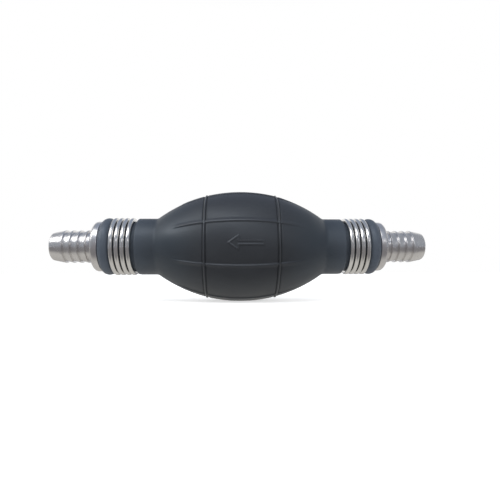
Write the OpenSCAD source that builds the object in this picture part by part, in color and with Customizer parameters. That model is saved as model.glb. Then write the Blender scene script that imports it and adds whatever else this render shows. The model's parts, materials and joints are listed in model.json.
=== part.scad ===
// Siphon bulb pump. A moulded rubber bulb sits between two hose barbs. Each barb
// holds a sprung check valve in its spigot, and a wound wire clamps the rubber
// neck onto that spigot. The inlet end is the outlet end turned end for end, with
// its valve the other way round, so both valves pass fuel towards -X.
//
// Millimetres. X is the pump's axis, with the outlet at -X and the inlet at +X.
// The thumb presses from -Y, where the flow arrow is, and the fingers from +Y.

/* [Bulb] */
// Outside diameter of the bulb at its middle
bulb_d = 50; // [46:0.5:54]
// Length of the bulged part between the two necks
bulb_len = 75; // [70:1:80]
// Thickness of the rubber in the bulged part
bulb_wall = 3; // [2.6:0.1:3.4]
// Outside diameter of the plain neck
neck_d = 25.5; // [25:0.1:26.5]
// Length of plain neck between the bulge and the clamp's groove
neck_land = 8.8; // [7:0.2:11]
// Radius that blends the bulge into the neck
blend_r = 3; // [2:0.5:5]
// Diameter of the bead at the end of the neck
bead_d = 25.8; // [25:0.1:27]
// Width of the bead at the end of the neck
bead_w = 5.3; // [4.6:0.1:6]
// Chamfer where the neck drops into the clamp's groove
groove_chamfer = 0.6; // [0.3:0.1:0.9]

/* [Moulded ribs and arrow] */
// Number of ribs that run along the bulb, half over the top and half under it
rib_count = 8; // [8:2:12]
// Angle between the two ribs that frame each press wall
panel_angle = 42; // [40:1:50]
// Length of a rib that runs along the bulb
rib_len = 60; // [54:1:64]
// Distance of each rib that runs round the bulb from the bulb's middle
ring_rib_x = 15.5; // [14.5:0.5:19]
// Width of a rib
rib_w = 2; // [1.6:0.1:2.4]
// Height of a rib above the bulb
rib_h = 0.5; // [0.3:0.05:0.7]
// Length of the flow arrow
arrow_len = 15; // [12:0.5:18]
// Height of the arrow's head, across the pump
arrow_head_w = 6.5; // [5:0.5:8]
// Length of the arrow's head
arrow_head_len = 4.7; // [3.5:0.1:6]
// Width of the arrow's shaft
arrow_shaft_w = 2; // [1.5:0.1:2.5]
// How far the arrow's tip lies from the bulb's middle
arrow_tip_x = 6; // [5:0.5:8]
// Height of the arrow above the bulb
arrow_h = 0.4; // [0.2:0.05:0.5]

/* [Press walls] */
// Gap round each press wall
press_gap = 0.3; // [0.2:0.05:0.5]

/* [Clamp wire] */
// Diameter of the clamp's wire
wire_d = 2; // [1.8:0.05:2.2]
// Gap from one turn of the clamp to the next
wire_gap = 0.46; // [0.46:0.01:0.6]
// Diameter of the winding, from wire centre to wire centre
winding_d = 24.2; // [24:0.1:24.6]
// Angle that the wire winds through, a little over three and a half turns
wire_sweep = 1275; // [1200:15:1320]
// Angle past the top at which the winding starts
wire_start = -12; // [-30:1:0]
// Share of each turn's step that is taken on the far side
wire_step_share = 0.95; // [0:0.05:0.95]
// Room in the groove between the winding and the plain neck
wire_room = 1.1; // [0.6:0.1:1.6]
// Gap between the winding and the bead at the neck's end
wire_end_gap = 0.05; // [0.02:0.01:0.3]
// Gap between the winding and the floor of its groove
wire_seat_gap = 0.03; // [0.02:0.01:0.1]

/* [Hose barb] */
// Outside diameter of the spigot inside the neck
spigot_d = 19; // [18.6:0.1:19.4]
// Length of the spigot, from its inner end to the flange
spigot_len = 20.4; // [19.6:0.2:22]
// Height of the two ridges that grip the rubber
grip_h = 0.3; // [0.2:0.05:0.4]
// Length of each grip ridge
grip_len = 2.4; // [1.8:0.1:3]
// Distance from the spigot's inner end to the first grip ridge
grip_start = 6; // [4:0.5:8]
// Distance from one grip ridge to the next
grip_pitch = 6; // [4:0.5:7]
// Diameter of the flange
flange_d = 22.6; // [21.5:0.1:23.5]
// Thickness of the flange
flange_w = 3.5; // [2.8:0.1:4.2]
// Radius of the flange's outer edge
flange_round = 1.6; // [1:0.1:2.2]
// Number of crests on the barb
crest_count = 4; // [3:1:4]
// Distance from one crest to the next
crest_pitch = 3.35; // [3.1:0.05:3.7]
// Diameter of the barb at its crests
crest_d = 14.7; // [14:0.1:15.4]
// Width of the round land on top of each crest
crest_land = 0.6; // [0.4:0.05:0.8]
// Diameter of the barb between its crests
barb_root_d = 12.9; // [12.6:0.1:13.4]
// Distance from the flange to the first crest
crest_offset = 2.8; // [2.4:0.1:3.4]
// Length of the taper from the last crest to the tip's rounding
tip_taper_len = 4.6; // [4:0.2:6.4]
// Diameter at the small end of the tip's taper
tip_d = 12.7; // [12.2:0.1:13]
// Radius that rounds the tip's edge
tip_round = 1; // [0.6:0.1:1.2]
// Diameter of the fuel passage through the barb
passage_d = 9; // [8:0.1:9.2]

/* [Check valve] */
// Outside diameter of the valve body
valve_d = 15; // [14.8:0.1:15.2]
// Clearance of the valve body in its bay, on the radius
valve_gap = 0.05; // [0.02:0.01:0.1]
// Thickness of the wall that carries the valve seat
seat_wall = 4.2; // [3.8:0.1:4.6]
// Diameter of the port through the valve seat
port_d = 6.6; // [6:0.1:7]
// Diameter of the chamber in which the poppet moves
chamber_d = 11.6; // [11.2:0.1:12]
// Diameter of the counterbore that takes the spring cage
cage_d = 12.6; // [12.3:0.1:12.8]
// Thickness of the spring cage
cage_w = 2.2; // [1.8:0.1:2.5]
// Diameter of the cage's hub
cage_hub_d = 6; // [5.8:0.1:6.6]
// Width of the cage's rim
cage_rim = 1.3; // [1:0.1:1.6]
// Width of each arm of the cage
cage_arm_w = 1.2; // [1:0.1:1.6]
// Number of arms of the cage
cage_arms = 4; // [3:1:5]
// Clearance of the cage in the valve body, on the radius
cage_gap = 0.02; // [0.01:0.01:0.05]
// Diameter of the poppet's stem
stem_d = 2.5; // [2.2:0.1:2.8]
// Running clearance of the stem in the cage's hub, on the radius
stem_gap = 0.07; // [0.03:0.01:0.1]
// How far the stem stands out of the cage when the valve is shut
stem_out = 1; // [0.6:0.1:1.4]
// Diameter of the poppet's head
head_d = 9.8; // [9.4:0.1:10.2]
// Thickness of the poppet's head
head_w = 1.5; // [1.2:0.1:1.8]
// Diameter of the boss that carries the poppet's seal
boss_d = 5; // [4.6:0.1:5.4]
// How far the boss reaches into the port
boss_out = 1; // [0.6:0.1:1.4]
// Outside diameter of the poppet's seal
seal_d = 9.2; // [8.8:0.1:9.6]
// Thickness of the poppet's seal
seal_w = 1.2; // [1:0.1:1.4]
// Travel of the poppet from its seat
poppet_travel = 2.5; // [2.1:0.1:2.7]
// Room left for the closed spring when the valve is fully open
spring_closed_len = 2.4; // [2.2:0.1:2.6]
// Diameter of the spring's wire
spring_wire_d = 0.35; // [0.3:0.05:0.45]
// Diameter of the spring, from wire centre to wire centre
spring_d = 4.6; // [4.2:0.1:5]
// Number of curls of the spring
spring_curls = 4; // [3:1:4]

/* [Seal and retaining ring] */
// Section diameter of the O-ring
o_ring_d = 1.5; // [1.3:0.1:1.6]
// Width of the O-ring's groove
o_groove_w = 2; // [1.8:0.1:2.3]
// Distance of the O-ring from the port's face of the valve body
o_ring_at = 2.1; // [1.8:0.1:2.4]
// Clearance of the O-ring between its groove and the bay
o_ring_gap = 0.02; // [0.01:0.01:0.05]
// Thickness of the retaining ring
ring_w = 1; // [0.8:0.1:1.2]
// Width of the retaining ring's section
ring_section = 2; // [1.8:0.1:2.4]
// How deep the ring's groove is cut into the bay's wall
ring_groove = 0.7; // [0.5:0.05:0.8]
// Clearance of the ring in its groove
ring_gap = 0.05; // [0.03:0.01:0.1]
// Width of the slot in the retaining ring
ring_slot = 4; // [3:0.5:6]
// Width of the lip between the ring's groove and the spigot's end
ring_lip = 1; // [0.8:0.1:1.4]
// Diameter of each plier hole in the ring's ears
ear_hole_d = 0.9; // [0.7:0.1:1.1]
// Diameter of each ear of the ring
ear_d = 2.4; // [2.2:0.1:2.6]

/* [Hidden] */

rubber = [0.17, 0.18, 0.2];
aluminium = [0.76, 0.77, 0.79];
wire_steel = [0.7, 0.71, 0.73];
spring_steel = [0.55, 0.56, 0.58];
acetal = [0.88, 0.87, 0.83];
nitrile = [0.09, 0.09, 0.1];

round_fn = 96;
arc_fn = 360;
small_fn = 48;
cut = 0.5; // how far a cutting tool reaches past the face it opens

// Bulb: the bulge's outline is a circular arc through the middle and both necks
bulb_r = bulb_d / 2;
neck_r = neck_d / 2;
bulge_rise = bulb_r - neck_r;
arc_r = (pow(bulb_len / 2, 2) + pow(bulge_rise, 2)) / (2 * bulge_rise);
arc_centre = bulb_r - arc_r;
blend_x = sqrt(pow(arc_r + blend_r, 2) - pow(neck_r + blend_r - arc_centre, 2));
blend_angle = atan2(blend_x, neck_r + blend_r - arc_centre);
arc_end_x = arc_r * sin(blend_angle);
spigot_r = spigot_d / 2;

// Radius of the bulge's outside at a distance x from the middle
function bulge_r(x) = arc_centre + sqrt(arc_r * arc_r - x * x);

// Clamp winding: angle 0 is the top, 90 the side that faces -Y at the inlet
ring_angle = 15;
wire_rings = wire_sweep / ring_angle;
tube_sides = 6;
winding_r = winding_d / 2;
wire_r = wire_d / 2;
wire_pitch = wire_d + wire_gap;
function winding_angle(i) = wire_start + i * ring_angle;
function winding_step(a) =
    wire_pitch * (a / 360 - wire_step_share * sin(a - 90) / (2 * PI));
winding_start_x = winding_step(winding_angle(0));
winding_len = winding_step(winding_angle(wire_rings)) - winding_start_x;
// The flat underside of the tube, at the middle of a straight stretch between rings
winding_inner_r = (winding_r - wire_r * cos(180 / tube_sides)) * cos(ring_angle / 2);

// Neck: groove for the winding, then the end bead
groove_r = winding_inner_r - wire_seat_gap;
groove_x = bulb_len / 2 + neck_land;
winding_x = groove_x + wire_room + wire_r;
bead_r = bead_w / 2;
bead_centre_r = bead_d / 2 - bead_r;
// The bead and the wire's last turn are two circles, wire_end_gap apart
bead_reach = wire_r + wire_end_gap + bead_r;
bead_step = sqrt(max(0, pow(bead_reach, 2) - pow(winding_r - bead_centre_r, 2)));
bead_x = winding_x + winding_len + bead_step;
neck_end_x = bead_x + bead_r;

// Ribs: round-topped round the bulb, flat-topped along it
rib_round = (pow(rib_w / 2, 2) + rib_h * rib_h) / (2 * rib_h);
ring_rib_r = bulge_r(ring_rib_x) + rib_h - rib_round;
side_ribs = rib_count / 2;
rib_step = (180 - panel_angle) / (side_ribs - 1);

// Press walls: each fills a window framed by the ribs
window_x = ring_rib_x - rib_w / 2 - press_gap;
window_z = bulge_r(window_x) * sin(panel_angle / 2) - rib_w / 2;

// Hose barb
flange_x = neck_end_x;
flange_end_x = flange_x + flange_w;
spigot_x = flange_x - spigot_len;
crest_r = crest_d / 2;
barb_root_r = barb_root_d / 2;
passage_r = passage_d / 2;
first_crest_x = flange_end_x + crest_offset;
last_crest_x = first_crest_x + (crest_count - 1) * crest_pitch;
taper_end_x = last_crest_x + crest_land + tip_taper_len;
tip_x = taper_end_x + tip_round;
grip_places = [for (i = [0, 1]) spigot_x + grip_start + i * grip_pitch];

// Check valve, measured from the port's face along the flow
bay_r = valve_d / 2 + valve_gap;
head_x = seat_wall + seal_w;
head_back_x = head_x + head_w;
spring_len = poppet_travel + spring_closed_len;
cage_x = head_back_x + spring_len;
valve_len = cage_x + cage_w;
o_groove_r = bay_r - o_ring_gap * 2 - o_ring_d;

// Bay for the valve in the spigot, between the retaining ring and a shoulder
ring_x = spigot_x + ring_lip;
ring_groove_w = ring_w + 2 * ring_gap;
bay_x = ring_x + ring_groove_w - ring_gap;
bay_end_x = bay_x + valve_len;

// ---- helpers ----

// Spins an outline round the pump's axis: across the outline is the radius, and up
// it is the distance along X
module turned() {
    rotate([0, 90, 0]) rotate_extrude($fn = round_fn) children();
}

// A cylinder along X, from x to x + length
module along_x(x, length, radius, fn = round_fn) {
    translate([x, 0, 0]) rotate([0, 90, 0]) cylinder(r = radius, h = length, $fn = fn);
}

// Places a piece of one end, drawn at the inlet end
module at_end(end) {
    if (end == "outlet") rotate([0, 180, 0]) children();
    else children();
}

// Places a piece of a valve, drawn from the port's face along the flow
module in_bay(end) {
    if (end == "outlet") at_end(end) translate([bay_x, 0, 0]) children();
    else translate([bay_end_x, 0, 0]) rotate([0, 180, 0]) children();
}

// A tube of tube_sides flats along a path, with its frame given at each point
// as [centre, outward direction, sideways direction]
module swept_tube(frames, radius) {
    sides = tube_sides;
    last = len(frames) - 1;
    points = [
        for (f = frames, k = [0 : sides - 1])
            let (a = (k + 0.5) * 360 / sides)
            f[0] + radius * cos(a) * f[1] + radius * sin(a) * f[2]
    ];
    skin = [
        for (i = [0 : last - 1], k = [0 : sides - 1])
            let (a = i * sides + k, b = i * sides + (k + 1) % sides)
            each [[a, b, a + sides], [b, b + sides, a + sides]]
    ];
    first_cap = [for (k = [1 : sides - 2]) [0, k + 1, k]];
    last_cap = [for (k = [1 : sides - 2]) [for (n = [0, k, k + 1]) last * sides + n]];
    polyhedron(points = points, faces = concat(first_cap, skin, last_cap), convexity = 10);
}

// ---- winding of the clamp ----

// Each turn lies flat over the near side and steps across on the far side
function winding_frame(a) =
    let (out = [0, -sin(a), cos(a)])
    [[winding_x - winding_start_x + winding_step(a), 0, 0] + winding_r * out, out, [1, 0, 0]];

// The wire's tail: one wire diameter straight on, along the turn's tangent
function winding_tail(a, way) =
    let (f = winding_frame(a))
    [f[0] + way * wire_d * [0, -cos(a), -sin(a)], f[1], f[2]];

winding_frames = concat(
    [winding_tail(winding_angle(0), -1)],
    [for (i = [0 : wire_rings]) winding_frame(winding_angle(i))],
    [winding_tail(winding_angle(wire_rings), 1)]
);

// Least gap between the centre points of neighbouring turns, less the wire
rings_per_turn = 360 / ring_angle;
winding_gap = min([
    for (i = [0 : wire_rings - rings_per_turn], j = [-2 : 2])
        if (i + rings_per_turn + j <= wire_rings)
            norm(winding_frame(winding_angle(i + rings_per_turn + j))[0]
                - winding_frame(winding_angle(i))[0]) - wire_d
]);
echo(least_gap_of_winding_mm = winding_gap);

// ---- spring ----

spring_rings = 8;
spring_turn_len = spring_len - spring_wire_d;
function spring_frame(a) =
    let (out = [0, cos(a), sin(a)])
    [[spring_wire_d / 2 + spring_turn_len * a / (360 * spring_curls), 0, 0]
        + spring_d / 2 * out, out, [-1, 0, 0]];
function spring_tail(a, way) =
    let (f = spring_frame(a))
    [f[0] + way * spring_wire_d * [0, -sin(a), cos(a)], f[1], f[2]];
spring_end = 360 * spring_curls;
spring_frames = concat(
    [spring_tail(0, -1)],
    [for (i = [0 : spring_rings * spring_curls]) spring_frame(i * 360 / spring_rings)],
    [spring_tail(spring_end, 1)]
);
spring_gap = spring_turn_len / spring_curls - spring_wire_d;
echo(least_gap_of_spring_mm = spring_gap);

// ---- bulb ----

// Outline of the bulge over its whole length, from the axis out
module bulge_outline(inset) {
    intersection() {
        translate([arc_centre, 0]) circle(r = arc_r - inset, $fn = arc_fn);
        translate([0, -arc_end_x]) square([bulb_d, 2 * arc_end_x]);
    }
}

// Outline of one neck: blend, plain land, groove and bead. It starts inside the bulge
module neck_outline() {
    difference() {
        translate([0, arc_end_x - blend_r])
            square([bulge_r(arc_end_x), blend_x - arc_end_x + blend_r]);
        translate([neck_r + blend_r, blend_x]) circle(r = blend_r, $fn = round_fn);
    }
    polygon([
        [0, 0], [neck_r, 0], [neck_r, groove_x - groove_chamfer],
        [neck_r - groove_chamfer, groove_x], [groove_r, groove_x],
        [groove_r, bead_x], [bead_centre_r, bead_x], [bead_centre_r, neck_end_x],
        [0, neck_end_x]
    ]);
    intersection() {
        translate([bead_centre_r, bead_x]) circle(r = bead_r, $fn = round_fn);
        translate([0, bead_x - bead_r]) square([bulb_d, bead_w]);
    }
}

module ring_ribs() {
    for (side = [-1, 1])
        turned() translate([ring_rib_r, side * ring_rib_x])
            circle(r = rib_round, $fn = small_fn);
}

// A rib along the bulb is the rim of a thin disc that follows the bulge. The ribs
// stand the same way over the top and under the bottom, from panel to panel
module long_ribs() {
    for (under = [0, 180], i = [0 : side_ribs - 1])
        rotate([under + (panel_angle - 180) / 2 + rib_step * i, 0, 0])
            intersection() {
                translate([0, rib_w / 2, arc_centre])
                    rotate([90, 0, 0])
                        cylinder(r = arc_r + rib_h, h = rib_w, $fn = arc_fn);
                translate([-rib_len / 2, -rib_w, neck_r])
                    cube([rib_len, 2 * rib_w, bulb_r]);
            }
}

module bulb_outside() {
    turned() {
        bulge_outline(0);
        neck_outline();
        mirror([0, 1]) neck_outline();
    }
}

module bulb_cavity() {
    turned() intersection() {
        translate([arc_centre, 0]) circle(r = arc_r - bulb_wall, $fn = arc_fn);
        translate([0, -bulb_len]) square([bulb_d, 2 * bulb_len]);
    }
}

// The spigot's outside, with the two ridges that grip the rubber
module spigot_outside() {
    along_x(spigot_x, spigot_len, spigot_r);
    for (x = grip_places)
        turned() polygon([
            [0, x], [spigot_r, x], [spigot_r + grip_h, x + grip_len],
            [0, x + grip_len]
        ]);
}

// The window that a press wall fills, on the side that y points to
module press_window(y, gap) {
    length = 2 * (window_x - gap);
    height = 2 * (window_z - gap);
    translate([-length / 2, min(0, y * bulb_d), -height / 2])
        cube([length, bulb_d, height]);
}

module rubber_bulb() {
    color(rubber) difference() {
        union() {
            bulb_outside();
            ring_ribs();
            long_ribs();
        }
        bulb_cavity();
        along_x(-neck_end_x - cut, 2 * (neck_end_x + cut), spigot_r);
        at_end("inlet") spigot_outside();
        at_end("outlet") spigot_outside();
        press_window(-1, 0);
        press_window(1, 0);
    }
}

module press_wall(y) {
    intersection() {
        difference() {
            bulb_outside();
            bulb_cavity();
        }
        press_window(y, press_gap);
    }
}

// The arrow's outline, pointing the way that the fuel flows
module arrow_outline() {
    tail_x = arrow_len - arrow_tip_x;
    neck_x = arrow_head_len - arrow_tip_x;
    head = arrow_head_w / 2;
    shaft = arrow_shaft_w / 2;
    polygon([
        [-arrow_tip_x, 0], [neck_x, head], [neck_x, shaft], [tail_x, shaft],
        [tail_x, -shaft], [neck_x, -shaft], [neck_x, -head]
    ]);
}

// The arrow stands on the wall, on a skin that follows the bulge
module flow_arrow() {
    intersection() {
        rotate([90, 0, 0]) linear_extrude(bulb_d) arrow_outline();
        turned() difference() {
            bulge_outline(-arrow_h);
            bulge_outline(bulb_wall / 2);
        }
    }
}

module thumb_wall() {
    color(rubber) {
        press_wall(-1);
        flow_arrow();
    }
}

module finger_wall() {
    color(rubber) press_wall(1);
}

// ---- end fittings ----

// Outline of the flange, the barb and its tip, from the axis out
module barb_outline() {
    difference() {
        translate([0, flange_x]) square([flange_d / 2, flange_w]);
        translate([flange_d / 2 - flange_round, flange_end_x - flange_round])
            difference() {
                square(flange_d);
                circle(r = flange_round, $fn = small_fn);
            }
    }
    translate([0, flange_end_x])
        square([barb_root_r, last_crest_x - flange_end_x]);
    for (i = [0 : crest_count - 2]) {
        x = first_crest_x + i * crest_pitch;
        polygon([
            [0, x], [crest_r, x], [crest_r, x + crest_land],
            [barb_root_r, x + crest_pitch], [0, x + crest_pitch]
        ]);
    }
    polygon([
        [0, last_crest_x], [crest_r, last_crest_x],
        [crest_r, last_crest_x + crest_land], [tip_d / 2, taper_end_x],
        [0, taper_end_x]
    ]);
    translate([0, taper_end_x]) square([tip_d / 2 - tip_round, tip_round]);
    intersection() {
        translate([tip_d / 2 - tip_round, taper_end_x])
            circle(r = tip_round, $fn = small_fn);
        translate([0, taper_end_x]) square(crest_d);
    }
}

module hose_barb(end) {
    color(aluminium) at_end(end) difference() {
        union() {
            spigot_outside();
            turned() barb_outline();
        }
        along_x(spigot_x - cut, bay_end_x - spigot_x + cut, bay_r);
        along_x(bay_end_x - cut, tip_x - bay_end_x + 2 * cut, passage_r);
        along_x(ring_x, ring_groove_w, bay_r + ring_groove);
    }
}

module clamp_wire(end) {
    color(wire_steel) at_end(end) swept_tube(winding_frames, wire_r);
}

// ---- check valve ----

module valve_body(end) {
    color(acetal) in_bay(end) difference() {
        along_x(0, valve_len, valve_d / 2);
        along_x(-cut, seat_wall + 2 * cut, port_d / 2);
        along_x(seat_wall, valve_len, chamber_d / 2);
        along_x(cage_x, valve_len, cage_d / 2);
        translate([o_ring_at - o_groove_w / 2, 0, 0]) difference() {
            along_x(0, o_groove_w, valve_d);
            along_x(-cut, o_groove_w + 2 * cut, o_groove_r);
        }
    }
}

module body_o_ring(end) {
    color(nitrile) in_bay(end) turned()
        translate([bay_r - o_ring_gap - o_ring_d / 2, o_ring_at])
            circle(d = o_ring_d, $fn = small_fn);
}

module poppet(end) {
    color(acetal) in_bay(end) {
        along_x(seat_wall - boss_out, boss_out + seal_w + cut, boss_d / 2);
        along_x(head_x, head_w, head_d / 2);
        along_x(head_x, valve_len + stem_out - head_x, stem_d / 2);
    }
}

module poppet_seal(end) {
    color(nitrile) in_bay(end) difference() {
        along_x(seat_wall, seal_w, seal_d / 2);
        along_x(seat_wall - cut, seal_w + 2 * cut, boss_d / 2);
    }
}

module valve_spring(end) {
    color(spring_steel) in_bay(end)
        translate([head_back_x, 0, 0]) swept_tube(spring_frames, spring_wire_d / 2);
}

module spring_cage(end) {
    rim_r = cage_d / 2 - cage_gap;
    color(acetal) in_bay(end) difference() {
        union() {
            along_x(cage_x, cage_w, cage_hub_d / 2);
            difference() {
                along_x(cage_x, cage_w, rim_r);
                along_x(cage_x - cut, cage_w + 2 * cut, rim_r - cage_rim);
            }
            for (i = [0 : cage_arms - 1])
                rotate([i * 360 / cage_arms, 0, 0])
                    translate([cage_x, -cage_arm_w / 2, 0])
                        cube([cage_w, cage_arm_w, rim_r - cage_rim / 2]);
        }
        along_x(cage_x - cut, cage_w + 2 * cut, stem_d / 2 + stem_gap);
    }
}

// The ring lies in its groove with its slot and ears at the bottom
module retaining_ring(end) {
    outer_r = bay_r + ring_groove - ring_gap;
    inner_r = outer_r - ring_section;
    ear_r = bay_r - ear_d / 2 - ring_gap;
    ear_angle = asin((ring_slot + ear_d) / 2 / ear_r);
    ring_face_x = ring_x + ring_gap;
    color(spring_steel) at_end(end) difference() {
        union() {
            difference() {
                along_x(ring_face_x, ring_w, outer_r);
                along_x(ring_face_x - cut, ring_w + 2 * cut, inner_r);
                translate([ring_face_x - cut, -ring_slot / 2, -outer_r - cut])
                    cube([ring_w + 2 * cut, ring_slot, outer_r]);
            }
            for (side = [-1, 1])
                rotate([180 + side * ear_angle, 0, 0]) translate([0, 0, ear_r])
                    along_x(ring_face_x, ring_w, ear_d / 2, small_fn);
        }
        for (side = [-1, 1])
            rotate([180 + side * ear_angle, 0, 0]) translate([0, 0, ear_r])
                along_x(ring_face_x - cut, ring_w + 2 * cut, ear_hole_d / 2, small_fn);
    }
}

// ---- nodes ----

rubber_bulb();
thumb_wall();
finger_wall();
hose_barb("outlet");  // outlet_hose_barb
clamp_wire("outlet");  // outlet_clamp_wire
valve_body("outlet");  // outlet_valve_body
body_o_ring("outlet");  // outlet_body_o_ring
poppet("outlet");  // outlet_poppet
poppet_seal("outlet");  // outlet_poppet_seal
valve_spring("outlet");  // outlet_valve_spring
spring_cage("outlet");  // outlet_spring_cage
retaining_ring("outlet");  // outlet_retaining_ring
hose_barb("inlet");  // inlet_hose_barb
clamp_wire("inlet");  // inlet_clamp_wire
valve_body("inlet");  // inlet_valve_body
body_o_ring("inlet");  // inlet_body_o_ring
poppet("inlet");  // inlet_poppet
poppet_seal("inlet");  // inlet_poppet_seal
valve_spring("inlet");  // inlet_valve_spring
spring_cage("inlet");  // inlet_spring_cage
retaining_ring("inlet");  // inlet_retaining_ring
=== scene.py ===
"""Siphon bulb pump: a moulded rubber bulb between two wire-clamped hose barbs.

Metres. X is the pump's axis, with the outlet at -X and the inlet at +X. The thumb
presses from -Y, where the flow arrow is, and the fingers from +Y. Z is up.
"""

import json
import math

import bmesh
import bpy
import numpy as np
from mathutils import Matrix, Vector


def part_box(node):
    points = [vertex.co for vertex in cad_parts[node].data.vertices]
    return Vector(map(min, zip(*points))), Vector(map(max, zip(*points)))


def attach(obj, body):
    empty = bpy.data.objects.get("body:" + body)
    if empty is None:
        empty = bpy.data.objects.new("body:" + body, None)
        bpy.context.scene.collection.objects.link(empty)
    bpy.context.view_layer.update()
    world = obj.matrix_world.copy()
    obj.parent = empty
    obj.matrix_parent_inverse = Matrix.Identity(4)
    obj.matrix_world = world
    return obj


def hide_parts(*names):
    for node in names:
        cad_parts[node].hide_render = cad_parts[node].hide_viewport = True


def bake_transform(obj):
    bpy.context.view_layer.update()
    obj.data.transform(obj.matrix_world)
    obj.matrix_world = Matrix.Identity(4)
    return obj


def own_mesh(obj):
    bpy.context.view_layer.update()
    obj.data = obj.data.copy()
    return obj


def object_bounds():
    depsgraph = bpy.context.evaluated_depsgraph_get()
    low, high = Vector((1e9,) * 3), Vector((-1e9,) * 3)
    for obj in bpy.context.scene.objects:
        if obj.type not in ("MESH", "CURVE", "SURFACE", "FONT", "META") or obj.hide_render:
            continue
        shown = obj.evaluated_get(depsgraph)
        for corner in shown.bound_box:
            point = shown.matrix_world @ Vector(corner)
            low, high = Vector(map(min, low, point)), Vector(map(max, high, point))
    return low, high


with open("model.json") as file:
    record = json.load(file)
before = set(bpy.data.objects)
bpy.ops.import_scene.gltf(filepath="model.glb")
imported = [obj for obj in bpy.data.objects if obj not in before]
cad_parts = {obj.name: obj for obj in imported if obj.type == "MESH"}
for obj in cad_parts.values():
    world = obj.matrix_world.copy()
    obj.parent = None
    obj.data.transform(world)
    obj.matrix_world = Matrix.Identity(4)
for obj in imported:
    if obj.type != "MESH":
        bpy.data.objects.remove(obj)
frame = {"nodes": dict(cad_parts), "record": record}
CAD_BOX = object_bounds()

MM = 0.001
FULL_TURN = 2 * math.pi
SAME_PLACE = 1e-7
SHARP_EDGE = math.radians(40)

# ---- sizes that the frame gives ----

bulb_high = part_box("rubber_bulb")[1]
barb_low, barb_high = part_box("inlet_hose_barb")

BULB_R = bulb_high.z
NECK_END_X = bulb_high.x
SPIGOT_X = barb_low.x
TIP_X = barb_high.x
FLANGE_R = barb_high.z
WIRE_LOW_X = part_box("inlet_clamp_wire")[0].x
FLOOR_Z = CAD_BOX[0][2]

# ---- bulb: the sizes of its moulded form ----

BULGE_LEN = 75 * MM
BULB_WALL = 3 * MM
NECK_R = 12.75 * MM
NECK_LAND = 8.8 * MM
BLEND_R = 3 * MM
BEAD_R = 2.65 * MM
BEAD_CENTRE_R = 10.25 * MM
GROOVE_R = 11.11 * MM
GROOVE_LIP = 0.6 * MM
GROOVE_FILLET = 0.4 * MM
SPIGOT_R = 9.5 * MM

RIB_COUNT = 8
PANEL_ANGLE = math.radians(42)
RIB_LEN = 60 * MM
RING_RIB_X = 15.5 * MM
RIB_H = 0.45 * MM
RING_RIB_W = 1.2 * MM
RING_CREASE_H = 0.24 * MM
RING_CREASE_W = 0.32 * MM
RIB_STEEP = (-0.15 * MM, 0.4 * MM)  # across a long rib's steep side, from its middle
RIB_GENTLE = (0.15 * MM, 2 * MM)  # across its gentle side
OUTLET_RIB_FADE = 6 * MM
INLET_RIB_FADE = 16 * MM

ARROW_LEN = 15 * MM
ARROW_HEAD_W = 6.5 * MM
ARROW_HEAD_LEN = 4.7 * MM
ARROW_SHAFT_W = 2 * MM
ARROW_TIP_X = 6 * MM
ARROW_TAIL_X = ARROW_LEN - ARROW_TIP_X
ARROW_H = 0.32 * MM
ARROW_RIM = 0.6 * MM
ARROW_SOFT = 0.15 * MM
ARROW_SUNK = 0.2 * MM

PARTING_H = 0.1 * MM
PARTING_W = 0.25 * MM

BULGE_RISE = BULB_R - NECK_R
ARC_R = ((BULGE_LEN / 2) ** 2 + BULGE_RISE ** 2) / (2 * BULGE_RISE)
ARC_CENTRE = BULB_R - ARC_R
BLEND_TOP = NECK_R + BLEND_R
BLEND_X = math.sqrt((ARC_R + BLEND_R) ** 2 - (BLEND_TOP - ARC_CENTRE) ** 2)
ARC_END_X = ARC_R * BLEND_X / (ARC_R + BLEND_R)
GROOVE_X = BULGE_LEN / 2 + NECK_LAND
BEAD_X = NECK_END_X - BEAD_R

# ---- bulb: how finely its skin is divided ----

STEPS_ALONG = (0.2 * MM, 1 * MM, 5 * MM)  # fine, coarse, and the stretch between them
STEPS_ROUND = (0.008, 0.035, 0.2)  # the same as angles
RIB_SPAN = 0.06  # half the angle that is fine at a long rib
ARROW_SPAN = 0.14
PARTING_SPAN = 0.02
GRADING_SAMPLES = 6001
INSIDE_ROWS = 101
INSIDE_COLUMNS = 65

# ---- clamp wire ----

WIRE_R = 1 * MM
WINDING_R = 12.1 * MM
WIRE_PITCH = 2.46 * MM
WIRE_START = math.radians(-12)
WIRE_SWEEP = math.radians(1275)
WIRE_STEP_SHARE = 0.95
WINDING_POINTS = 341
END_ROUND = 0.25  # rounding of a wire's cut end, as a share of its radius

# ---- hose barb ----

FLANGE_W = 3.5 * MM
FLANGE_ROUND = 1.6 * MM
FLANGE_EDGE = 0.3 * MM
CREST_COUNT = 4
CREST_PITCH = 3.35 * MM
CREST_R = 7.35 * MM
CREST_LAND = 0.6 * MM
CREST_EDGE = 0.16 * MM
BARB_ROOT_R = 6.45 * MM
CREST_OFFSET = 2.8 * MM
TIP_R = 6.35 * MM
TIP_ROUND = 1 * MM
PASSAGE_R = 4.5 * MM
PASSAGE_EDGE = 0.15 * MM
BAY_END_X = 57.88 * MM
BAY_R = 7.55 * MM
TURNED_SEGMENTS = 192

FLANGE_END_X = NECK_END_X + FLANGE_W
FIRST_CREST_X = FLANGE_END_X + CREST_OFFSET
TAPER_END_X = TIP_X - TIP_ROUND

# ---- valve spring ----

SPRING_WIRE_R = 0.175 * MM
SPRING_R = 2.3 * MM
SPRING_CURLS = 4
SPRING_STEPS = 16  # in one curl


# ---- shapes as arrays ----

def smooth(low, high, t):
    """0 below low, 1 above high, and 3s^2 - 2s^3 between them."""
    s = np.clip((t - low) / (high - low), 0, 1)
    return s * s * (3 - 2 * s)


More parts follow.
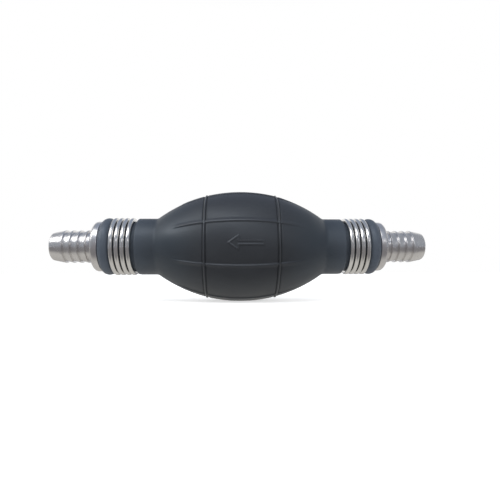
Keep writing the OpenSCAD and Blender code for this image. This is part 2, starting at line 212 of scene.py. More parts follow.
def graded(low, high, spans, fine, coarse, spread):
    """Places from low to high, fine apart inside the spans and up to coarse outside.

    One over the step is summed along the line, and the places lie where that sum
    passes equal shares.
    """
    t = np.linspace(low, high, GRADING_SAMPLES)
    away = np.min([np.maximum(np.maximum(a - t, t - b), 0) for a, b in spans], axis=0)
    density = 1 / (fine + (coarse - fine) * np.clip(away / spread, 0, 1))
    shares = (density[1:] + density[:-1]) / 2 * np.diff(t)
    total = np.concatenate([[0], np.cumsum(shares)])
    places = np.linspace(0, total[-1], math.ceil(total[-1]) + 1)
    return np.interp(places, total, t)


def arc(x, r, radius, start, end, steps):
    """Points (x, r) on a circle, from the angle start to the angle end, in degrees."""
    a = np.radians(np.linspace(start, end, steps + 1))
    return np.stack([x + radius * np.cos(a), r + radius * np.sin(a)], 1)


def line(x0, r0, x1, r1, steps):
    """Points (x, r) evenly along a straight line."""
    t = np.linspace(0, 1, steps + 1)[:, None]
    return np.array([x0, r0]) * (1 - t) + np.array([x1, r1]) * t


def joined(*stretches):
    """One outline from several stretches, without points that repeat the one before."""
    points = np.concatenate(stretches)
    gap = np.linalg.norm(np.diff(points, axis=0), axis=1)
    return points[np.concatenate([[True], gap > SAME_PLACE])]


def numbered(points, first=0):
    """The vertex numbers of a grid of points."""
    return first + np.arange(points[..., 0].size).reshape(points.shape[:2])


def grid_faces(index, wrap_across=False):
    """Quads between neighbours in a grid of vertex numbers."""
    nxt = np.roll(index, -1, axis=1) if wrap_across else index[:, 1:]
    here = index if wrap_across else index[:, :-1]
    return np.stack([here[:-1], nxt[:-1], nxt[1:], here[1:]], -1).reshape(-1, 4)


def add_object(name, data):
    """An object with this mesh, camera or lamp, in the scene."""
    made = bpy.data.objects.new(name, data)
    bpy.context.scene.collection.objects.link(made)
    return made


def make_piece(name, points, faces, uv=None, proud=None):
    """A closed mesh with outward faces, smooth but for its sharp edges. proud is each
    point's height above the plain surface in rib heights, for its finish."""
    mesh = bpy.data.meshes.new(name)
    mesh.from_pydata(points.tolist(), [], [f.tolist() for part in faces for f in part])
    if uv is not None:
        layer = mesh.uv_layers.new(name="along")
        corner = np.zeros(len(mesh.loops), np.int32)
        mesh.loops.foreach_get("vertex_index", corner)
        layer.data.foreach_set("uv", uv[corner].astype(np.float32).ravel())
    work = bmesh.new()
    work.from_mesh(mesh)
    bmesh.ops.recalc_face_normals(work, faces=work.faces)
    work.to_mesh(mesh)
    work.free()
    mesh.polygons.foreach_set("use_smooth", np.ones(len(mesh.polygons), bool))
    mesh.set_sharp_from_angle(angle=SHARP_EDGE)
    if proud is not None:
        layer = mesh.attributes.new("proud", "FLOAT", "POINT")
        layer.data.foreach_set("value", proud.astype(np.float32).ravel())
    return add_object(name, mesh)


# ---- bulb ----

def bulge_radius(x):
    """Radius of the bulge's outside: a circular arc whose centre lies past the axis."""
    return ARC_CENTRE + np.sqrt(np.maximum(ARC_R ** 2 - x ** 2, 0))


def skin_outline():
    """(x, r) of the bulb's outside from the middle to the end face: arc, blend, neck,
    rounded lip, groove with filleted corner, and the round bead."""
    fine = [(RING_RIB_X - RING_RIB_W, RING_RIB_X + RING_RIB_W), (0, ARROW_TAIL_X)]
    x = graded(0, ARC_END_X, fine, *STEPS_ALONG)
    bulge = np.stack([x, bulge_radius(x)], 1)
    x = np.linspace(ARC_END_X, BLEND_X, 7)
    blend = np.stack([x, BLEND_TOP - np.sqrt(BLEND_R ** 2 - (BLEND_X - x) ** 2)], 1)
    lip_x = GROOVE_X - GROOVE_LIP
    fillet = GROOVE_FILLET
    bead_start = 180 - math.degrees(math.asin((GROOVE_R - BEAD_CENTRE_R) / BEAD_R))
    bead_foot = BEAD_X - math.sqrt(BEAD_R ** 2 - (GROOVE_R - BEAD_CENTRE_R) ** 2)
    return joined(
        bulge, blend,
        line(BLEND_X, NECK_R, lip_x, NECK_R, 9),
        arc(lip_x, NECK_R - GROOVE_LIP, GROOVE_LIP, 90, 0, 5),
        line(GROOVE_X, NECK_R - GROOVE_LIP, GROOVE_X, GROOVE_R + fillet, 2),
        arc(GROOVE_X + fillet, GROOVE_R + fillet, fillet, 180, 270, 3),
        line(GROOVE_X + fillet, GROOVE_R, bead_foot, GROOVE_R, 10),
        arc(BEAD_X, BEAD_CENTRE_R, BEAD_R, bead_start, 0, 22),
    )


def both_ways(half):
    """An outline from end to end, from its half at x >= 0."""
    return np.concatenate([half[:0:-1] * [-1, 1], half])


def rib_angles():
    """Angles of the long ribs from the parting plane, over one side of the bulb: two
    beside the panel in the middle, and the rest evenly between panel and panel."""
    side_ribs = RIB_COUNT // 2
    step = (math.pi - PANEL_ANGLE) / (side_ribs - 1)
    over = (PANEL_ANGLE - math.pi) / 2 + step * np.arange(side_ribs)
    angles = np.concatenate([over, over + math.pi]) % FULL_TURN
    return np.sort(angles[angles < math.pi])


def outline_distance(x, z, corners):
    """Signed distance to a closed outline: the least distance to any of its edges,
    below zero inside, where a ray crosses the edges an odd number of times."""
    x, z = np.broadcast_arrays(x, z)
    least = np.full(x.shape, np.inf)
    inside = np.zeros(x.shape, bool)
    for (x0, z0), (x1, z1) in zip(corners, np.roll(corners, -1, axis=0)):
        ex, ez = x1 - x0, z1 - z0
        t = np.clip(((x - x0) * ex + (z - z0) * ez) / (ex * ex + ez * ez), 0, 1)
        least = np.minimum(least, np.hypot(x - x0 - t * ex, z - z0 - t * ez))
        if ez != 0:
            crosses = (z0 > z) != (z1 > z)
            inside ^= crosses & (x < x0 + (z - z0) * ex / ez)
    return np.where(inside, -least, least)


def arrow_corners():
    """The flow arrow's outline in X and Z, with its tip towards the outlet."""
    neck = ARROW_HEAD_LEN - ARROW_TIP_X
    head, shaft = ARROW_HEAD_W / 2, ARROW_SHAFT_W / 2
    return np.array([
        [-ARROW_TIP_X, 0], [neck, head], [neck, shaft], [ARROW_TAIL_X, shaft],
        [ARROW_TAIL_X, -shaft], [neck, -shaft], [neck, -head],
    ])


def relief(x, r, angle, with_arrow):
    """Height above the smooth outside. A long rib drops steeply towards the press
    panel's middle and gently away from it, both as 3s^2 - 2s^3, and fades into the skin
    at its ends, over a longer stretch towards the inlet. A ring rib is
    1 - (2 d / width)^2 high across, so it is round on top, with a bell-shaped crease
    along each foot. The flow arrow, on the thumb's side, is a raised rim round a sunk
    middle. A fine bell-shaped ridge marks where the mould parts."""
    along = 0
    for a in rib_angles():
        to_panel = r * np.sin(angle - a) * np.sign(math.pi / 2 - a)
        drop = smooth(*RIB_STEEP, to_panel) + smooth(*RIB_GENTLE, -to_panel)
        near = np.cos(angle - a) > 0
        along = np.maximum(along, (1 - np.minimum(drop, 1)) * near)
    fade = np.where(x < 0, OUTLET_RIB_FADE, INLET_RIB_FADE)
    along = RIB_H * along * (1 - smooth(RIB_LEN / 2 - fade, RIB_LEN / 2, np.abs(x)))
    across = np.abs(x) - RING_RIB_X
    ring = RIB_H * np.maximum(1 - (2 * across / RING_RIB_W) ** 2, 0)
    crease = np.exp(-((np.abs(across) - RING_RIB_W / 2) / RING_CREASE_W) ** 2)
    height = np.maximum(along, ring) - RING_CREASE_H * crease
    if with_arrow:
        away = outline_distance(x, r * np.cos(angle), arrow_corners())
        raised = ARROW_H * (1 - smooth(-ARROW_SOFT, ARROW_SOFT, away))
        sunk = ARROW_SUNK * (1 - smooth(-ARROW_SOFT, ARROW_SOFT, away + ARROW_RIM))
        height = height + raised - sunk
    seam = np.minimum(angle, math.pi - angle) * r / PARTING_W
    on_body = np.abs(x) < GROOVE_X - GROOVE_LIP
    return height + PARTING_H * np.exp(-seam ** 2) * on_body


def bore_radius(x):
    """Radius of the bulb's inside: the chamber's arc, or the spigot's bore."""
    inner = ARC_R - BULB_WALL
    chamber = ARC_CENTRE + np.sqrt(np.maximum(inner ** 2 - x ** 2, 0))
    return np.maximum(chamber, SPIGOT_R)


def about_axis(x, radius, angle, side=1):
    """Points (x, r sin, r cos) on a grid: rows along the axis, columns from the top."""
    return np.stack(np.broadcast_arrays(
        x, side * radius * np.sin(angle), radius * np.cos(angle)), -1)


def bulb_skin(name, side):
    """Half of the bulb's skin, on the side that Y has the sign of. The outside is
    r(x) + relief(x, angle) about the axis, no higher than the bulge is, and the inside
    is the bore's radius. One flat face closes each side at the parting plane, and one
    closes each end."""
    outline = both_ways(skin_outline())
    fine = [(a - RIB_SPAN, a + RIB_SPAN) for a in rib_angles()]
    fine += [(0, PARTING_SPAN), (math.pi - PARTING_SPAN, math.pi)]
    if side < 0:
        fine.append((math.pi / 2 - ARROW_SPAN, math.pi / 2 + ARROW_SPAN))
    angle = graded(0, math.pi, fine, *STEPS_ROUND)
    x, r = outline[:, :1], outline[:, 1:]
    height = relief(x, r, angle, with_arrow=side < 0)
    outside = about_axis(x, r + height, angle, side)
    outside[..., 2] = np.clip(outside[..., 2], -BULB_R, BULB_R)
    inner_x = np.linspace(-NECK_END_X, NECK_END_X, INSIDE_ROWS)[:, None]
    inside = about_axis(
        inner_x, bore_radius(inner_x), np.linspace(0, math.pi, INSIDE_COLUMNS), side)
    out = numbered(outside)
    inn = numbered(inside, out.size)
    flats = [np.concatenate([out[:, c], inn[::-1, c]])[None] for c in (0, -1)]
    flats += [np.concatenate([out[row], inn[row, ::-1]])[None] for row in (0, -1)]
    points = np.concatenate([outside.reshape(-1, 3), inside.reshape(-1, 3)])
    proud = np.concatenate([height.ravel() / RIB_H, np.zeros(inn.size)])
    return make_piece(name, points, [grid_faces(out), grid_faces(inn)] + flats, proud=proud)


# ---- end fittings ----

def turned_piece(name, outline, end_sign):
    """A closed outline (x, r) turned about the axis, for the end that X points to."""
    a = np.linspace(0, FULL_TURN, TURNED_SEGMENTS, endpoint=False)
    points = about_axis(end_sign * outline[:, :1], outline[:, 1:], a)
    index = numbered(points)
    loop = np.concatenate([index, index[:1]])
    return make_piece(name, points.reshape(-1, 3), [grid_faces(loop, wrap_across=True)])


def barb_outline():
    """(x, r) of the hose barb, all the way round its section: spigot, flange with a
    round outer edge, crests with eased edges, taper, round tip, and the bore."""
    e = CREST_EDGE
    stretches = [
        line(SPIGOT_X, SPIGOT_R, NECK_END_X, SPIGOT_R, 2),
        line(NECK_END_X, SPIGOT_R, NECK_END_X, FLANGE_R - FLANGE_EDGE, 2),
        arc(NECK_END_X + FLANGE_EDGE, FLANGE_R - FLANGE_EDGE, FLANGE_EDGE, 180, 90, 4),
        arc(FLANGE_END_X - FLANGE_ROUND, FLANGE_R - FLANGE_ROUND, FLANGE_ROUND, 90, 0, 10),
        line(FLANGE_END_X, FLANGE_R - FLANGE_ROUND, FLANGE_END_X, BARB_ROOT_R + 2 * e, 2),
        arc(FLANGE_END_X + 2 * e, BARB_ROOT_R + 2 * e, 2 * e, 180, 270, 4),
    ]
    for i in range(CREST_COUNT):
        x = FIRST_CREST_X + i * CREST_PITCH
        last = i == CREST_COUNT - 1
        slope_end = [TAPER_END_X, TIP_R] if last else [x + CREST_PITCH, BARB_ROOT_R]
        slope = math.degrees(math.atan2(
            CREST_R - slope_end[1], slope_end[0] - x - CREST_LAND))
        stretches += [
            arc(x - e, BARB_ROOT_R + e, e, 270, 360, 3),
            arc(x + e, CREST_R - e, e, 180, 90, 4),
            arc(x + CREST_LAND - e, CREST_R - e, e, 90, 90 - slope, 3),
        ]
    stretches += [
        arc(TAPER_END_X, TIP_R - TIP_ROUND, TIP_ROUND, 80, 0, 9),
        arc(TIP_X - PASSAGE_EDGE, PASSAGE_R + PASSAGE_EDGE, PASSAGE_EDGE, 0, -90, 3),
        line(TIP_X - PASSAGE_EDGE, PASSAGE_R, BAY_END_X, PASSAGE_R, 8),
        line(BAY_END_X, PASSAGE_R, BAY_END_X, BAY_R, 2),
        line(BAY_END_X, BAY_R, SPIGOT_X, BAY_R, 4),
        line(SPIGOT_X, BAY_R, SPIGOT_X, SPIGOT_R, 2),
    ]
    return joined(*stretches)[:-1]


def swept_wire(name, centres, outward, radius, sides=16):
    """A round tube along a path. Each ring is centre + radius (cos a n + sin a b), with
    n the outward direction square to the path and b = path x n. Past each end, smaller
    rings round off its edge."""
    path = np.gradient(centres, axis=0)
    path /= np.linalg.norm(path, axis=1)[:, None]
    n = outward - np.sum(outward * path, axis=1)[:, None] * path
    n /= np.linalg.norm(n, axis=1)[:, None]
    b = np.cross(path, n)
    edge = np.radians([60, 30, 0])
    past = END_ROUND * radius * np.cos(edge)[:, None]
    shrink = 1 - END_ROUND * (1 - np.sin(edge))
    scale = np.concatenate([shrink[::-1], np.ones(len(centres)), shrink])
    centres = np.concatenate([
        centres[0] - past[::-1] * path[0], centres, centres[-1] + past * path[-1]])
    more = (len(edge), len(edge))
    n, b = (np.pad(v, (more, (0, 0)), mode="edge") for v in (n, b))
    a = np.linspace(0, FULL_TURN, sides, endpoint=False)
    across = np.cos(a)[None, :, None] * n[:, None] + np.sin(a)[None, :, None] * b[:, None]
    points = centres[:, None] + radius * scale[:, None, None] * across
    index = numbered(points)
    steps = np.linalg.norm(np.diff(centres, axis=0), axis=1)
    length = np.concatenate([[0], np.cumsum(steps)])[:, None]
    uv = np.stack(np.broadcast_arrays(length, a[None, :] * radius), -1).reshape(-1, 2)
    faces = [grid_faces(index, wrap_across=True), index[:1], index[-1:]]
    return make_piece(name, points.reshape(-1, 3), faces, uv=uv)


def winding_path(end_sign):
    """Centre points and outward directions of a clamp's wire. The angle runs from the
    top towards the thumb's side, and x = pitch (a - share sin(a - 90 deg)) / a turn,
    so each turn lies flat in front and steps across at the back."""
    a = WIRE_START + np.linspace(0, WIRE_SWEEP, WINDING_POINTS)
    step = WIRE_PITCH * (a - WIRE_STEP_SHARE * np.sin(a - math.pi / 2)) / FULL_TURN
    outward = np.stack([np.zeros_like(a), -np.sin(a), np.cos(a)], 1)
    centres = WINDING_R * outward
    centres[:, 0] = WIRE_LOW_X + WIRE_R + step - step[0]
    turn = np.array([end_sign, 1, end_sign])
    return centres * turn, outward * turn


def spring_path(node_name, head_sign):
    """Centre points and outward directions of a valve spring between poppet and cage."""
    low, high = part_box(node_name)
    a = np.linspace(0, FULL_TURN * SPRING_CURLS, SPRING_STEPS * SPRING_CURLS + 1)
    outward = np.stack([np.zeros_like(a), head_sign * np.cos(a), np.sin(a)], 1)
    centres = SPRING_R * outward
    ends = (low.x + SPRING_WIRE_R, high.x - SPRING_WIRE_R)
    centres[:, 0] = np.interp(a, (a[0], a[-1]), ends)
    return centres, outward


# ---- shader nodes ----

def node(tree, kind, links=None, **values):
    """A node with its properties set and its inputs linked or given."""
    made = tree.nodes.new(kind)
    for key, value in values.items():
        setattr(made, key, value)
    for key, value in (links or {}).items():
        if isinstance(value, bpy.types.NodeSocket):
            tree.links.new(value, made.inputs[key])
        else:
            made.inputs[key].default_value = value
    return made


def mixed(tree, factor, first, second):
    """The first colour where factor is 0 and the second where it is 1."""
    return node(tree, "ShaderNodeMix", {0: factor, 6: first, 7: second},
                data_type="RGBA").outputs[2]


def ramp(tree, value, low, high):
    """0 below low, 1 above high, smooth between."""
    return node(tree, "ShaderNodeMapRange", {
        "Value": value, "From Min": low, "From Max": high},
        interpolation_type="SMOOTHSTEP").outputs[0]


def maths(tree, operation, *values):
    """The result of a sum on numbers and outputs."""
    return node(tree, "ShaderNodeMath", dict(enumerate(values)),
                operation=operation).outputs[0]


def stretched(tree, place, factors):
    """Coordinates multiplied by a factor on each axis."""
    return node(tree, "ShaderNodeVectorMath", {0: place, 1: factors},
                operation="MULTIPLY").outputs[0]


def noise(tree, place, scale, detail, roughness=0.5, distortion=0.0):
    """A grey noise, whose scale is in lumps per metre."""
    return node(tree, "ShaderNodeTexNoise", {
        "Vector": place, "Scale": scale, "Detail": detail, "Roughness": roughness,
        "Distortion": distortion}).outputs["Fac"]


def object_place(tree):
    """A surface's own coordinates."""
    return node(tree, "ShaderNodeTexCoord").outputs["Object"]


def axes_of(tree, place):
    """The X, Y and Z of coordinates, by name."""
    return node(tree, "ShaderNodeSeparateXYZ", {0: place}).outputs


# ---- node groups for effects that several finishes share ----

GRAIN_PATCHES = 90.0
TURNING_BANDS = 900.0
TURNING_DRAW = (1.0, 0.012, 0.012)
HANDLING_PATCHES = 55.0
DRAWN_LINES = (60.0, 9000.0, 1.0)


def new_group(name, inputs, outputs):
    """An empty node group with these sockets, as (kind, name, default) and (kind, name),
    and the outputs and inputs that its own nodes link to."""
    group = bpy.data.node_groups.new(name, "ShaderNodeTree")
    for kind, label, value in inputs:
        socket = group.interface.new_socket(label, in_out="INPUT", socket_type=kind)
        socket.default_value = value
    for kind, label in outputs:
        group.interface.new_socket(label, in_out="OUTPUT", socket_type=kind)
    given = group.nodes.new("NodeGroupInput").outputs
    out = group.nodes.new("NodeGroupOutput").inputs
    return group, given, out


def grain_group():
    """Fine moulded or cast grain: two sizes of noise, as a height and as a mask."""
    group, given, out = new_group("moulded grain", [
        ("NodeSocketVector", "Place", (0, 0, 0)),
        ("NodeSocketFloat", "Size", 0.4 * MM),
    ], [("NodeSocketFloat", "Height"), ("NodeSocketFloat", "Mask")])
    scale = maths(group, "DIVIDE", 1.0, given["Size"])
    fine = noise(group, given["Place"], scale, 4.0, 0.6)
    broad = noise(group, given["Place"], GRAIN_PATCHES, 3.0, 0.55)
    group.links.new(fine, out["Height"])
    group.links.new(broad, out["Mask"])
    return group


def turning_group():
    """Lathe marks: noise drawn out round the axis, so it varies along X alone."""
    group, given, out = new_group("turning marks", [
        ("NodeSocketVector", "Place", (0, 0, 0)),
        ("NodeSocketFloat", "Feed", 0.15 * MM),
    ], [("NodeSocketFloat", "Height"), ("NodeSocketFloat", "Mask")])
    scale = maths(group, "DIVIDE", 1.0, given["Feed"])
    drawn = stretched(group, given["Place"], TURNING_DRAW)
    group.links.new(noise(group, drawn, scale, 3.0, 0.7), out["Height"])
    group.links.new(noise(group, drawn, TURNING_BANDS, 2.0), out["Mask"])
    return group


def handling_group():
    """Marks of handling: broad soft patches, which dull a finish here and there."""
    group, given, out = new_group("handling marks", [
        ("NodeSocketVector", "Place", (0, 0, 0)),
        ("NodeSocketColor", "Clean", (0.5, 0.5, 0.5, 1)),
        ("NodeSocketColor", "Marked", (0.5, 0.5, 0.5, 1)),
        ("NodeSocketFloat", "Low", 0.3),
        ("NodeSocketFloat", "High", 0.4),
    ], [("NodeSocketColor", "Colour"), ("NodeSocketFloat", "Roughness")])
    patches = noise(group, given["Place"], HANDLING_PATCHES, 5.0, 0.62, 0.4)
    share = node(group, "ShaderNodeMapRange", {
        "Value": patches, "From Min": 0.35, "From Max": 0.68}).outputs[0]
    rough = node(group, "ShaderNodeMapRange", {
        "Value": share, "To Min": given["Low"], "To Max": given["High"]}).outputs[0]
    group.links.new(mixed(group, share, given["Clean"], given["Marked"]), out["Colour"])
    group.links.new(rough, out["Roughness"])
    return group


GRAIN = grain_group()
TURNING = turning_group()
HANDLING = handling_group()


# ---- finishes ----

def bare_material(name):
    """A material with its node tree and its Principled shader."""
    material = bpy.data.materials.new(name)
    material.use_nodes = True
    tree = material.node_tree
    return material, tree, tree.nodes["Principled BSDF"]


def use_group(tree, group, links):
    """The outputs of a node group, with its inputs linked or given."""
    return node(tree, "ShaderNodeGroup", links, node_tree=group).outputs


def handling(tree, place, clean, marked, roughness):
    """Colour and roughness with marks of handling: the clean and the marked colour, and
    the roughness of each."""
    return use_group(tree, HANDLING, {
        "Place": place, "Clean": (*clean, 1), "Marked": (*marked, 1),
        "Low": roughness[0], "High": roughness[1]})


def new_finish(name, clean, marked, roughness):
    """A material whose colour and roughness have marks of handling."""
    material, tree, shader = bare_material(name)
    place = object_place(tree)
    marks = handling(tree, place, clean, marked, roughness)
    tree.links.new(marks["Colour"], shader.inputs["Base Color"])
    tree.links.new(marks["Roughness"], shader.inputs["Roughness"])
    return material, tree, shader, place


def add_bump(tree, shader, height, depth, strength=1.0):
    """Bumps up to this depth in a shader's surface."""
    bump = node(tree, "ShaderNodeBump", {
        "Height": height, "Distance": depth, "Strength": strength})
    tree.links.new(bump.outputs["Normal"], shader.inputs["Normal"])


def add_grain(tree, shader, place, size, depth, strength):
    """Moulded grain of this size in a shader's surface."""
    grain = use_group(tree, GRAIN, {"Place": place, "Size": size})
    add_bump(tree, shader, grain["Height"], depth, strength)


def set_plain(shader, **values):
    """Sets a shader's inputs to values that are the same all over."""
    for key, value in values.items():
        shader.inputs[key.replace("_", " ")].default_value = value


def bulb_rubber():
    """Black moulded rubber with a satin skin, rubbed smoother on its ribs and painted paler
    there, as wear and as a painted highlight, and dull in its creases, with painted shade
    darkening them. Its colour turns blue-black away from the middle and blue-grey towards
    its ends, a painted bluish reflection."""
    material, tree, shader = bare_material("bulb rubber")
    place = object_place(tree)
    marks = handling(
        tree, place, (0.017, 0.0172, 0.0190), (0.021, 0.0215, 0.0235), (0.41, 0.52))
    from_middle = maths(tree, "ABSOLUTE", axes_of(tree, place)["X"])
    # Painted reflection: the colour turns bluer away from the middle, standing in for the
    # bluish surroundings that the flanks reflect.
    edge_reflection_tint = ramp(tree, from_middle, 14 * MM, 32 * MM)
    colour = mixed(tree, edge_reflection_tint, marks["Colour"], (0.0168, 0.0223, 0.0292, 1))
    # Painted reflection: the colour turns paler blue-grey towards the ends, standing in for
    # the bluish surroundings that the ends reflect.
    end_reflection_tint = ramp(tree, from_middle, 30 * MM, 66 * MM)
    colour = mixed(tree, end_reflection_tint, colour, (0.060, 0.073, 0.094, 1))
    proud = node(tree, "ShaderNodeAttribute", attribute_name="proud").outputs["Fac"]
    # Paler and smoother on the rib crests: partly wear, partly a painted highlight where
    # the crests catch the light.
    rib_wear_and_highlight = ramp(tree, proud, 0.35, 0.95)
    colour = mixed(tree, rib_wear_and_highlight, colour, (0.026, 0.027, 0.030, 1))
    # Painted shade: the colour darkens in the creases at the ribs' feet, where shade falls;
    # the roughness rises there too.
    crease_shade = ramp(tree, proud, -0.05, -0.4)
    colour = mixed(tree, crease_shade, colour, (0.010, 0.010, 0.011, 1))
    rubbed = maths(tree, "MULTIPLY_ADD", rib_wear_and_highlight, -0.13, marks["Roughness"])
    roughness = maths(tree, "MULTIPLY_ADD", crease_shade, 0.2, rubbed)
    tree.links.new(colour, shader.inputs["Base Color"])
    tree.links.new(roughness, shader.inputs["Roughness"])
    set_plain(shader, Specular_Tint=(0.84, 0.92, 1.0, 1), Specular_IOR_Level=0.78)
    add_grain(tree, shader, place, 0.35 * MM, 0.02 * MM, 0.6)
    return material


def turned_aluminium():
    """Aluminium as it leaves the lathe: fine marks round it and dull patches."""
    material, tree, shader, place = new_finish(
        "turned aluminium", (0.77, 0.755, 0.74), (0.64, 0.62, 0.61), (0.22, 0.36))
    turning = use_group(tree, TURNING, {"Place": place, "Feed": 0.16 * MM})
    set_plain(shader, Metallic=1.0)
    add_bump(tree, shader, turning["Height"], 0.02 * MM)
    return material


def clamp_steel():
    """Bright drawn wire: fine lines along it, from its own lengthwise map."""
    material, tree, shader, _ = new_finish(
        "clamp wire steel", (0.82, 0.81, 0.79), (0.72, 0.70, 0.67), (0.16, 0.26))
    along = node(tree, "ShaderNodeUVMap", uv_map="along").outputs["UV"]
    lines = noise(tree, stretched(tree, along, DRAWN_LINES), 1.0, 2.0)
    set_plain(shader, Metallic=1.0)
    add_bump(tree, shader, lines, 0.006 * MM)
    return material


def spring_steel():
    """Dark spring steel, oiled."""
    material, _, shader, _ = new_finish(
        "spring steel", (0.45, 0.45, 0.46), (0.34, 0.33, 0.32), (0.25, 0.4))
    set_plain(shader, Metallic=1.0)
    return material


def valve_acetal():
    """Natural white acetal, moulded, with a faint grain."""
    material, tree, shader, place = new_finish(
        "valve acetal", (0.78, 0.76, 0.70), (0.70, 0.67, 0.59), (0.35, 0.45))
    add_grain(tree, shader, place, 0.25 * MM, 0.01 * MM, 0.5)
    return material


def seal_nitrile():
    """Matt black nitrile rubber."""
    material, tree, shader, place = new_finish(
        "seal nitrile", (0.022, 0.022, 0.024), (0.035, 0.034, 0.034), (0.5, 0.65))
    add_grain(tree, shader, place, 0.2 * MM, 0.015 * MM, 0.6)
    return material


FINISHES = {
    "bulb_rubber": bulb_rubber(),
    "barb_aluminium": turned_aluminium(),
    "clamp_steel": clamp_steel(),
    "spring_steel": spring_steel(),
    "valve_acetal": valve_acetal(),
    "seal_nitrile": seal_nitrile(),
}


def dress(piece, slot, *nodes, body="pump_body"):
    """Gives a new piece its finish, hides the CAD nodes it stands for, and hangs it on the
    body it rides with."""
    piece.data.materials.append(FINISHES[slot])
    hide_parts(*nodes)
    if body:
        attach(piece, body)


# ---- the pump ----

for name, wall, body, side in (
    ("bulb_thumb_side", "thumb_wall", "thumb_wall_body", -1),
    ("bulb_finger_side", "finger_wall", "finger_wall_body", 1),
):
    skin = bulb_skin(name, side)
    dress(skin, "bulb_rubber", "rubber_bulb", wall, body=None)
    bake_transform(skin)

for end, sign in (("outlet", -1), ("inlet", 1)):
    barb = turned_piece(f"{end}_barb_turned", barb_outline(), sign)
    dress(barb, "barb_aluminium", f"{end}_hose_barb")
    clamp = swept_wire(f"{end}_clamp_wound", *winding_path(sign), WIRE_R)
    dress(clamp, "clamp_steel", f"{end}_clamp_wire")
    spring_node = f"{end}_valve_spring"
    spring = swept_wire(f"{end}_spring_wound", *spring_path(spring_node, sign),
                        SPRING_WIRE_R, sides=10)
    dress(spring, "spring_steel", spring_node)
    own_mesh(spring)

SLOT_OF_NODE = {p["node"]: p["material_slot"] for p in frame["record"]["subparts"]}
for name, part in frame["nodes"].items():
    if not part.hide_render:
        part.data.materials.clear()
        part.data.materials.append(FINISHES[SLOT_OF_NODE[name]])


# ---- camera ----

VIEW_DISTANCE = 180 * MM
VIEW_SCALE = 2.155 / MM  # image points per metre at the pump's middle
IMAGE_SIDE = 500
SENSOR_W = 36
CLIP_START = 0.01
VIEW_TURN = 0.045
VIEW_RISE = math.radians(3.3)
VIEW_ROLL = -0.003
MIDDLE_RIGHT = -4.25 * MM
MIDDLE_UP = 1.6 * MM


def place_camera():
    """A camera in front of the thumb's side, a little towards the outlet and looking
    slightly up, with the pump's middle off the image's middle."""
    ahead = Vector((
        math.sin(VIEW_TURN) * math.cos(VIEW_RISE),
        math.cos(VIEW_TURN) * math.cos(VIEW_RISE),
        math.sin(VIEW_RISE)))
    level = Vector((math.cos(VIEW_TURN), -math.sin(VIEW_TURN), 0))
    upright = level.cross(ahead)
    right = math.cos(VIEW_ROLL) * level + math.sin(VIEW_ROLL) * upright
    up = right.cross(ahead)
    data = bpy.data.cameras.new("camera")
    data.sensor_width = SENSOR_W
    data.lens = SENSOR_W * VIEW_SCALE * VIEW_DISTANCE / IMAGE_SIDE
    data.clip_start = CLIP_START
    camera = add_object("camera", data)
    place = -VIEW_DISTANCE * ahead - MIDDLE_RIGHT * right - MIDDLE_UP * up
    camera.matrix_world = Matrix.Translation(place) @ Matrix(
        (right, up, -ahead)).transposed().to_4x4()
    bpy.context.scene.camera = camera


place_camera()

# ---- stage ----

STUDIO_R = 0.8  # the studio's wall, from the pump
OPEN_SIDEWAYS = 75  # how far round from the back the wall is open, in degrees
OPEN_UP = 35  # and how far up
FLOOR_HALF = 3.0
FLOOR_GLOW = 0.6
CARD_X = (-0.5, 0.5)
CARD_Y = (-0.75, 0.25)
CARD_GAP = 0.3 * MM


def make_stage_piece(name, points, faces, material):
    """A surface that isn't part of the pump."""
    mesh = bpy.data.meshes.new(name)
    mesh.from_pydata(points.tolist(), [], faces.tolist())
    mesh.polygons.foreach_set("use_smooth", np.ones(len(mesh.polygons), bool))
    mesh.materials.append(material)
    piece = add_object(name, mesh)
    return piece


def make_sheet(name, x, y, z, material):
    """A level rectangle between two places in X and two in Y."""
    corners = np.array([[x[0], y[0], z], [x[1], y[0], z], [x[1], y[1], z], [x[0], y[1], z]])
    return make_stage_piece(name, corners, np.array([[0, 1, 2, 3]]), material)


def only_in_reflections(piece):
    """Hides a surface from all but mirror-like reflections."""
    piece.visible_camera = False
    piece.visible_diffuse = False
    piece.visible_shadow = False
    piece.visible_transmission = False
    piece.visible_volume_scatter = False


def glowing(tree, shader, colour):
    """Makes a surface that only gives off this colour."""
    set_plain(shader, Base_Color=(0, 0, 0, 1), Roughness=1.0, Specular_IOR_Level=0.0,
              Emission_Strength=1.0)
    tree.links.new(colour, shader.inputs["Emission Color"])


def make_floor():
    """A pale floor that stays white to the eye and keeps the pump's shadow."""
    material, tree, shader = bare_material("floor")
    set_plain(shader, Base_Color=(0.85, 0.85, 0.85, 1), Roughness=0.9,
              Specular_IOR_Level=0.0, Emission_Color=(1, 1, 1, 1))
    path = node(tree, "ShaderNodeLightPath").outputs
    shown = maths(tree, "MAXIMUM", path["Is Camera Ray"], path["Is Glossy Ray"])
    shown = maths(tree, "MAXIMUM", shown, path["Is Transmission Ray"])
    lift = maths(tree, "MULTIPLY", shown, FLOOR_GLOW)
    tree.links.new(lift, shader.inputs["Emission Strength"])
    ends = (-FLOOR_HALF, FLOOR_HALF)
    make_sheet("floor", ends, ends, FLOOR_Z, material)


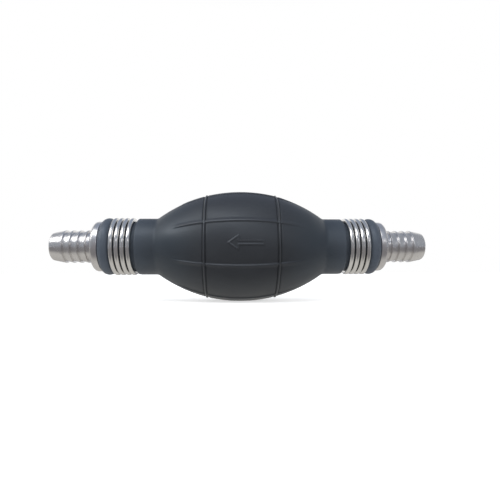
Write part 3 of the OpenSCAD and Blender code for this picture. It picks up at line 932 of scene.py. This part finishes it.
def make_studio_wall():
    """The studio as the metal mirrors it: part of a sphere round the pump, open at the
    back up to 35 degrees, where the white background shows. Angles are azimuth from the
    back and elevation, and the point is R (cos e sin a, cos e cos a, sin e)."""
    material, tree, shader = bare_material("studio wall")
    way = node(tree, "ShaderNodeVectorMath", {0: object_place(tree)},
               operation="NORMALIZE").outputs[0]
    axes = axes_of(tree, way)
    beside = ramp(tree, maths(tree, "ABSOLUTE", axes["X"]), 0.30, 0.80)
    level = mixed(tree, beside, (0.25, 0.245, 0.27, 1), (0.34, 0.37, 0.42, 1))
    above = mixed(tree, beside, (0.31, 0.36, 0.46, 1), (0.36, 0.38, 0.42, 1))
    colour = mixed(tree, ramp(tree, axes["Z"], 0.15, 0.65), level, above)
    glowing(tree, shader, colour)
    for name, azimuth, elevation in (
        ("studio_front", (OPEN_SIDEWAYS, 360 - OPEN_SIDEWAYS, 61), (-3, 90, 25)),
        ("studio_back", (-OPEN_SIDEWAYS, OPEN_SIDEWAYS, 41), (OPEN_UP, 90, 15)),
    ):
        a = np.radians(np.linspace(*azimuth))[None, :]
        e = np.radians(np.linspace(*elevation))[:, None]
        points = STUDIO_R * np.stack(np.broadcast_arrays(
            np.cos(e) * np.sin(a), np.cos(e) * np.cos(a), np.sin(e)), -1)
        only_in_reflections(make_stage_piece(
            name, points.reshape(-1, 3), grid_faces(numbered(points)), material))


def make_table_card():
    """The table as the metal mirrors it: grey, a little darker in front of the pump,
    and pale and warm under it."""
    material, tree, shader = bare_material("table card")
    y = axes_of(tree, object_place(tree))["Y"]
    grey = (0.24, 0.235, 0.26, 1)
    near = mixed(tree, ramp(tree, y, -0.16, -0.09), grey, (0.22, 0.215, 0.225, 1))
    under = mixed(tree, ramp(tree, y, -30 * MM, -14 * MM), near, (0.58, 0.57, 0.55, 1))
    colour = mixed(tree, ramp(tree, y, 20 * MM, 60 * MM), under, grey)
    glowing(tree, shader, colour)
    only_in_reflections(make_sheet(
        "table_card", CARD_X, CARD_Y, FLOOR_Z + CARD_GAP, material))


def make_lamp(name, place, size, strength):
    """A soft rectangular lamp that faces the pump, with its brightness per area."""
    data = bpy.data.lights.new(name, "AREA")
    data.shape = "RECTANGLE"
    data.size, data.size_y = size
    data.energy = strength * math.pi * size[0] * size[1]
    lamp = add_object(name, data)
    lamp.location = place
    lamp.rotation_euler = (-Vector(place)).to_track_quat("-Z", "Y").to_euler()


def make_world():
    """White up to 35 degrees above the horizon, and a cool grey overhead."""
    world = bpy.data.worlds.new("studio")
    bpy.context.scene.world = world
    world.use_nodes = True
    tree = world.node_tree
    way = node(tree, "ShaderNodeTexCoord").outputs["Generated"]
    overhead = ramp(tree, axes_of(tree, way)["Z"], 0.57, 0.75)
    colour = mixed(tree, overhead, (1, 1, 1, 1), (0.60, 0.66, 0.75, 1))
    tree.links.new(colour, tree.nodes["Background"].inputs["Color"])


make_floor()
make_studio_wall()
make_table_card()
make_world()
make_lamp("overhead softbox", (-0.13, -0.25, 0.41), (0.56, 0.19), 2.3)
make_lamp("side softbox", (-0.41, -0.15, 0.27), (0.22, 0.09), 6.5)
make_lamp("window", (0.17, -0.53, 0.22), (0.55, 0.06), 1.6)

bpy.context.scene.view_settings.view_transform = "Standard"
